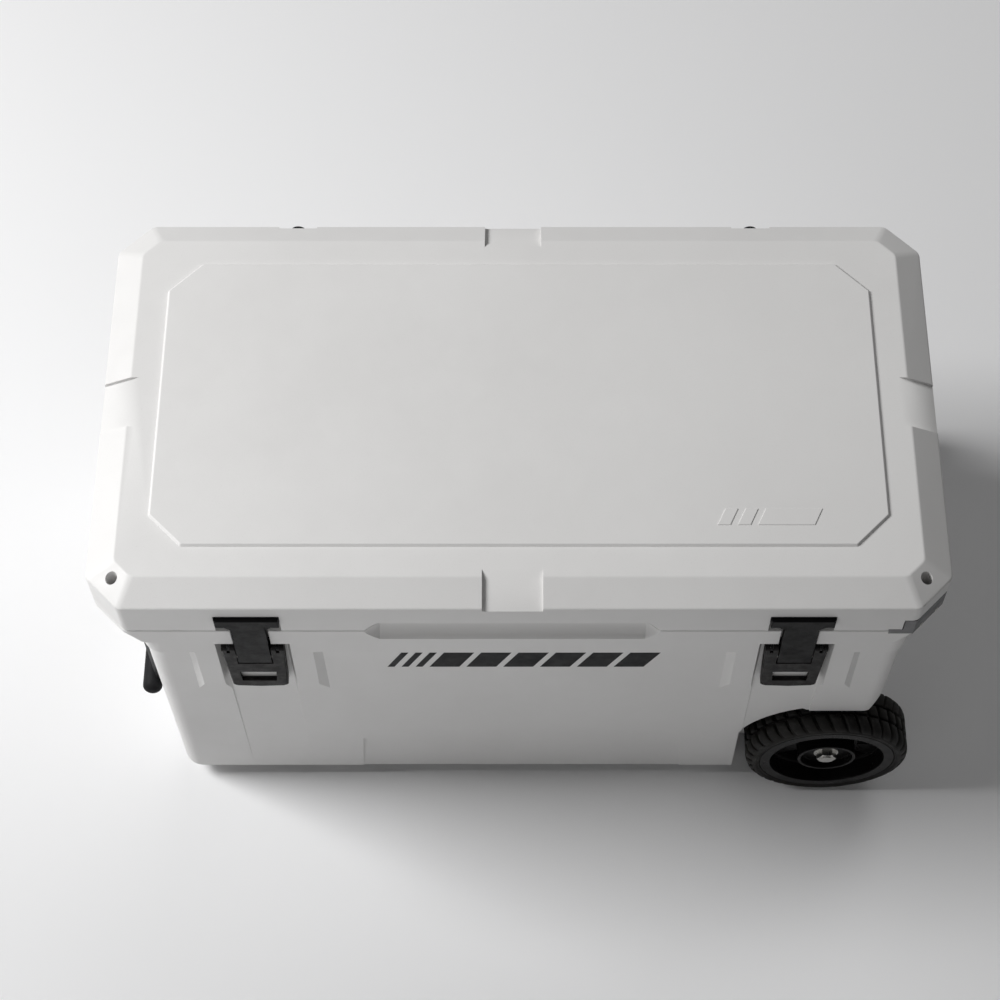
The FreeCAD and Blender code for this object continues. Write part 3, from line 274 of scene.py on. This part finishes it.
def scratch(mesh):
    obj = bpy.data.objects.new("scratch", mesh)
    bpy.context.scene.collection.objects.link(obj)
    return obj


def smooth_shaded(mesh):
    mesh.polygons.foreach_set("use_smooth", [True] * len(mesh.polygons))
    return mesh


def largest_shell(mesh):
    """Keeps the connected shell with the largest reach, which leaves out closed voids inside."""
    work = bmesh.new()
    work.from_mesh(mesh)
    bmesh.ops.remove_doubles(work, verts=work.verts, dist=MERGE_DISTANCE)
    left = set(work.verts)
    shells = []
    while left:
        stack = [left.pop()]
        shell = list(stack)
        while stack:
            for edge in stack.pop().link_edges:
                for vert in edge.verts:
                    if vert in left:
                        left.remove(vert)
                        stack.append(vert)
                        shell.append(vert)
        shells.append(shell)

    def reach(shell):
        return sum(max(v.co[i] for v in shell) - min(v.co[i] for v in shell) for i in range(3))

    keep = max(shells, key=reach)
    drop = [v for shell in shells if shell is not keep for v in shell]
    bmesh.ops.delete(work, geom=drop, context="VERTS")
    work.to_mesh(mesh)
    work.free()
    return mesh


FLAT_ANGLE = math.radians(1)
SOFT_CREASE = math.radians(20)
EASED_ANGLE = math.radians(28)
EASED_SEGMENTS = 3


def eased(node, width):
    """A CAD piece with its sharp edges rounded, its slight folds kept crisp, and closed voids left out."""
    mesh = largest_shell(CAD_NODES[node].data.copy())
    work = bmesh.new()
    work.from_mesh(mesh)
    bmesh.ops.remove_doubles(work, verts=work.verts, dist=MERGE_DISTANCE)
    bmesh.ops.dissolve_limit(work, angle_limit=FLAT_ANGLE, verts=work.verts, edges=work.edges)
    for edge in work.edges:
        if edge.is_manifold and SOFT_CREASE < edge.calc_face_angle(0) < EASED_ANGLE:
            edge.smooth = False
    work.to_mesh(mesh)
    work.free()
    obj = scratch(smooth_shaded(mesh))
    bevel = obj.modifiers.new("bevel", "BEVEL")
    bevel.width = width
    bevel.segments = EASED_SEGMENTS
    bevel.limit_method = "ANGLE"
    bevel.angle_limit = EASED_ANGLE
    bevel.harden_normals = True
    weighted = obj.modifiers.new("weighted", "WEIGHTED_NORMAL")
    weighted.weight = 100
    weighted.keep_sharp = True
    mesh = smooth_shaded(baked(obj, node))
    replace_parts(piece(node + "_eased", mesh, BODY_OF[node], SLOT_OF[node]), node)


# ---- tyre --------------------------------------------------------------------------------------
LUGS = 36
LUG_SHARE = 0.80
LUG_SLANT = 0.85
LUG_EDGE = 0.10
LUG_EDGE_DROP = 0.9 * MM
TREAD_DEPTH = 5.0 * MM
LATHE_STEPS = 144
CREASE_ANGLE = 50
BEAD_DEPTH = 1.6 * MM


class Wheel:
    """Places points by angle, radius and depth in from one tyre's outer face."""

    def __init__(self, end):
        low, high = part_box("wheel_tyre_" + end)
        self.x = (low[0] + high[0]) / 2
        self.z = (low[2] + high[2]) / 2
        self.radius = (high[2] - low[2]) / 2
        self.outer = low[1] if end == "front" else high[1]
        self.inward = 1 if end == "front" else -1
        self.width = high[1] - low[1]

    def point(self, turn, radius, depth):
        return (self.x + radius * math.cos(turn), self.outer + self.inward * depth,
                self.z + radius * math.sin(turn))


def lathe(work, wheel, profile):
    """Turns a closed (radius, depth) outline round the axle."""
    rings = []
    for step in range(LATHE_STEPS):
        turn = 2 * math.pi * step / LATHE_STEPS
        rings.append([work.verts.new(wheel.point(turn, radius, depth)) for radius, depth in profile])
    for step in range(LATHE_STEPS):
        ring, ahead = rings[step], rings[(step + 1) % LATHE_STEPS]
        for i in range(len(profile)):
            j = (i + 1) % len(profile)
            work.faces.new((ring[i], ring[j], ahead[j], ahead[i]))


def carcass(wheel):
    """The tyre's closed outline under the tread: bead, sidewall rib, shoulder and tread floor."""
    floor = wheel.radius - TREAD_DEPTH
    bead = wheel.radius - 17 * MM
    half = [
        (bead, BEAD_DEPTH + 2 * MM), (bead + 0.8 * MM, BEAD_DEPTH), (bead + 2.0 * MM, BEAD_DEPTH - 0.5 * MM),
        (bead + 2.8 * MM, BEAD_DEPTH - 0.1 * MM), (bead + 4.5 * MM, 0.3 * MM), (bead + 6.5 * MM, 0.2 * MM),
        (bead + 8.5 * MM, 1.2 * MM), (bead + 10.2 * MM, 3.0 * MM), (floor - 0.5 * MM, 6.5 * MM),
        (floor, 11 * MM),
    ]
    centre = wheel.width / 2
    return half + [(floor, centre)] + [(radius, wheel.width - depth) for radius, depth in reversed(half)]


def lug(work, wheel, start, share, stations, slant):
    """One tread block: stations are (top radius, root radius, depth) across the tyre."""
    pitch = 2 * math.pi / LUGS
    edge = LUG_EDGE * share
    spread = (
        (0.0, "root"), (edge * 0.25, "side"), (edge, "top"), (share / 2, "top"),
        (share - edge, "top"), (share - edge * 0.25, "side"), (share, "root"),
    )
    rows = []
    count = len(stations)
    for i, (top, root, depth) in enumerate(stations):
        lean = slant * i / (count - 1)
        row = []
        for across, level in spread:
            outer_row = i in (0, count - 1)
            if level == "root" or outer_row:
                radius = root
            elif level == "side":
                radius = top - LUG_EDGE_DROP
            else:
                radius = top
            row.append(work.verts.new(wheel.point((start + across + lean) * pitch, radius, depth)))
        rows.append(row)
    for i in range(count - 1):
        for j in range(len(spread) - 1):
            work.faces.new((rows[i][j], rows[i][j + 1], rows[i + 1][j + 1], rows[i + 1][j]))
    rim = [row[0] for row in rows] + rows[-1][1:-1] + [row[-1] for row in reversed(rows)] + rows[0][-2:0:-1]
    work.faces.new(rim)


def treaded_tyre(end):
    """Rubber tyre with slanted shoulder blocks and a staggered centre row."""
    wheel = Wheel(end)
    work = bmesh.new()
    lathe(work, wheel, carcass(wheel))
    top = wheel.radius
    root = top - TREAD_DEPTH - 0.7 * MM
    shoulder = [
        (top - 9.5 * MM, top - 9.6 * MM, 1.2 * MM), (top - 7.6 * MM, top - 10.0 * MM, 1.4 * MM),
        (top - 4.4 * MM, top - 8.6 * MM, 2.8 * MM), (top - 1.8 * MM, root - 1 * MM, 5.6 * MM),
        (top - 0.4 * MM, root, 9.5 * MM), (top, root, 14 * MM), (top - 0.1 * MM, root, 20.6 * MM),
        (top - 1.0 * MM, root, 21.4 * MM), (root, root, 21.8 * MM),
    ]
    far = [(crest, foot, wheel.width - depth) for crest, foot, depth in reversed(shoulder)]
    middle = [
        (root, root, 24.2 * MM), (top - 1.0 * MM, root, 24.6 * MM), (top - 0.1 * MM, root, 25.4 * MM),
        (top, root, wheel.width / 2), (top - 0.1 * MM, root, wheel.width - 25.4 * MM),
        (top - 1.0 * MM, root, wheel.width - 24.6 * MM), (root, root, wheel.width - 24.2 * MM),
    ]
    for i in range(LUGS):
        lug(work, wheel, i, LUG_SHARE, shoulder, LUG_SLANT)
        lug(work, wheel, i + 0.5, LUG_SHARE * 0.9, middle, LUG_SLANT * 0.5)
        lug(work, wheel, i + 0.25, LUG_SHARE, far, -LUG_SLANT)
    bmesh.ops.recalc_face_normals(work, faces=work.faces)
    mesh = bpy.data.meshes.new("tyre_" + end)
    work.to_mesh(mesh)
    work.free()
    name = "wheel_tyre_" + end
    tyre = piece(name + "_treaded", smooth_shaded(mesh), BODY_OF[name], SLOT_OF[name])
    split = tyre.modifiers.new("creases", "EDGE_SPLIT")
    split.split_angle = math.radians(CREASE_ANGLE)
    bpy.context.view_layer.update()
    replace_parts(tyre, name)


# ---- print and embossing -----------------------------------------------------------------------
BAR_LEAN = 0.45
BAR_INSET = 0.6 * MM
BAR_ROOT = 0.4 * MM
PRINT_LIFT = 0.25 * MM
EMBOSS_LIFT = 0.9 * MM
EMBOSS_PLACE = (216 * MM, -158 * MM)
EMBOSS_HEIGHT = 20 * MM


def slanted_bars(name, bars, origin, across, up, out, lift, body, slot, material=None):
    """Raised parallelograms (start, end, low, high) with eased edges on a flat face."""
    work = bmesh.new()
    origin, across, up, out = Vector(origin), Vector(across), Vector(up), Vector(out)
    for start, end, low, high in bars:
        lean = (high - low) * BAR_LEAN
        inset = min(lift, BAR_INSET)
        corners = [(start, low), (end, low), (end + lean, high), (start + lean, high)]
        shrink = [(start + inset, low + inset), (end - inset, low + inset),
                  (end + lean - inset, high - inset), (start + lean + inset, high - inset)]
        levels = [(corners, -BAR_ROOT), (corners, lift * 0.6), (shrink, lift)]
        rings = []
        for ring, height in levels:
            rings.append([work.verts.new(origin + across * u + up * v + out * height) for u, v in ring])
        for low_ring, high_ring in zip(rings, rings[1:]):
            for i in range(4):
                j = (i + 1) % 4
                work.faces.new((low_ring[i], low_ring[j], high_ring[j], high_ring[i]))
        work.faces.new(rings[-1])
        work.faces.new(rings[0][::-1])
    bmesh.ops.recalc_face_normals(work, faces=work.faces)
    mesh = bpy.data.meshes.new(name)
    work.to_mesh(mesh)
    work.free()
    return piece(name, mesh, body, slot, material)


PRINT_FOOT = (-150 * MM, -243.27 * MM, 305 * MM)
PRINT_LOW = 29 * MM
PRINT_HIGH = 68 * MM
PRINT_GAP = 8
FACE_SLOPE = 0.00802


def front_print():
    """A plain row of slanted bars, printed in black on the front face."""
    bars = []
    start = 0
    for length in (8, 8, 8, 34, 34, 34, 34, 34, 34):
        bars.append((start * MM, (start + length) * MM, PRINT_LOW, PRINT_HIGH))
        start += length + PRINT_GAP
    up = (0, -FACE_SLOPE, 1)
    out = (0, -1, -FACE_SLOPE)
    slanted_bars("front_print", bars, PRINT_FOOT, (1, 0, 0), up, out, PRINT_LIFT,
                 BODY_OF["tub_shell"], SLOT_OF["latch_lever_left"], PRINT_BLACK)


def lid_emboss():
    """Three plain raised bars on the lid's panel."""
    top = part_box("lid_shell")[1][2]
    bars = []
    for offset, length in ((0, 14), (22, 14), (44, 62)):
        bars.append((offset * MM, (offset + length) * MM, 0, EMBOSS_HEIGHT))
    slanted_bars("lid_emboss", bars, (*EMBOSS_PLACE, top), (1, 0, 0), (0, 1, 0), (0, 0, 1), EMBOSS_LIFT,
                 BODY_OF["lid_shell"], SLOT_OF["lid_shell"])


# ---- pieces ------------------------------------------------------------------------------------
MOULDED_EDGE = 0.9 * MM
HOOK_EDGE = 1.0 * MM
METAL_EDGE = 0.7 * MM
RIM_EDGE = 1.2 * MM

for node, obj in CAD_NODES.items():
    obj.data.materials.clear()
    obj.data.materials.append(MATERIALS[SLOT_OF[node]])

for node in ("tub_shell", "lid_shell", "tub_liner"):
    eased(node, MOULDED_EDGE)
for side in ("left", "right"):
    eased("latch_lever_" + side, MOULDED_EDGE)
    eased("latch_hook_" + side, HOOK_EDGE)
for node in ("handle_frame", "handle_bracket_front", "handle_bracket_rear", "drain_plug", "drain_fitting"):
    eased(node, METAL_EDGE)
for end in ("front", "rear"):
    eased("wheel_rim_" + end, RIM_EDGE)
    treaded_tyre(end)
front_print()
lid_emboss()


# ---- floor, light and camera -------------------------------------------------------------------
FLOOR_HALF = 9.0
AMBIENT = 0.06


def stage_floor():
    mesh = bpy.data.meshes.new("floor")
    corners = [(x * FLOOR_HALF, y * FLOOR_HALF, 0) for x, y in ((-1, -1), (1, -1), (1, 1), (-1, 1))]
    mesh.from_pydata(corners, [], [(0, 1, 2, 3)])
    obj = bpy.data.objects.new("floor", mesh)
    bpy.context.scene.collection.objects.link(obj)
    look = Look("floor_paper", (0.92, 0.92, 0.925), 0.60, specular=0.2)
    look.color(look.mix(look.noise(0.6, 3.0), (0.91, 0.91, 0.915), (0.93, 0.93, 0.935)))
    mesh.materials.append(look.material)


def softbox(name, place, aim, size, power, spread=180):
    data = bpy.data.lights.new(name, "AREA")
    data.shape = "RECTANGLE"
    data.size, data.size_y = size
    data.energy = power
    data.spread = math.radians(spread)
    obj = bpy.data.objects.new(name, data)
    bpy.context.scene.collection.objects.link(obj)
    obj.location = place
    obj.rotation_euler = (Vector(aim) - Vector(place)).to_track_quat("-Z", "Y").to_euler()
    obj.visible_camera = False


def studio():
    world = bpy.data.worlds.new("studio")
    world.use_nodes = True
    world.node_tree.nodes["Background"].inputs["Color"].default_value = (1.0, 1.0, 1.0, 1.0)
    world.node_tree.nodes["Background"].inputs["Strength"].default_value = AMBIENT
    bpy.context.scene.world = world
    bpy.context.scene.view_settings.view_transform = "Standard"
    softbox("key_left", (-2.9, 0.30, 3.0), (0, 0, 0.40), (1.5, 1.5), 150.0)
    softbox("front_near", (-0.35, -0.85, 0.62), (-0.15, -0.25, 0.42), (1.4, 0.15), 0.42, spread=90)
    softbox("rear_high", (1.9, 2.6, 3.2), (1.0, 0.6, 0.0), (2.0, 2.0), 22.0)


CAMERA_LENS = 80.0
CAMERA_SENSOR = 36.0
CAMERA_PLACE = (0.0, -1.2873, 2.652)
CAMERA_PITCH = 61.47
CAMERA_SHIFT = -0.019


def camera():
    data = bpy.data.cameras.new("camera")
    data.lens = CAMERA_LENS
    data.sensor_width = CAMERA_SENSOR
    data.shift_x = CAMERA_SHIFT
    obj = bpy.data.objects.new("camera", data)
    bpy.context.scene.collection.objects.link(obj)
    obj.location = CAMERA_PLACE
    obj.rotation_euler = (math.radians(90 - CAMERA_PITCH), 0, 0)
    bpy.context.scene.camera = obj


stage_floor()
studio()
camera()
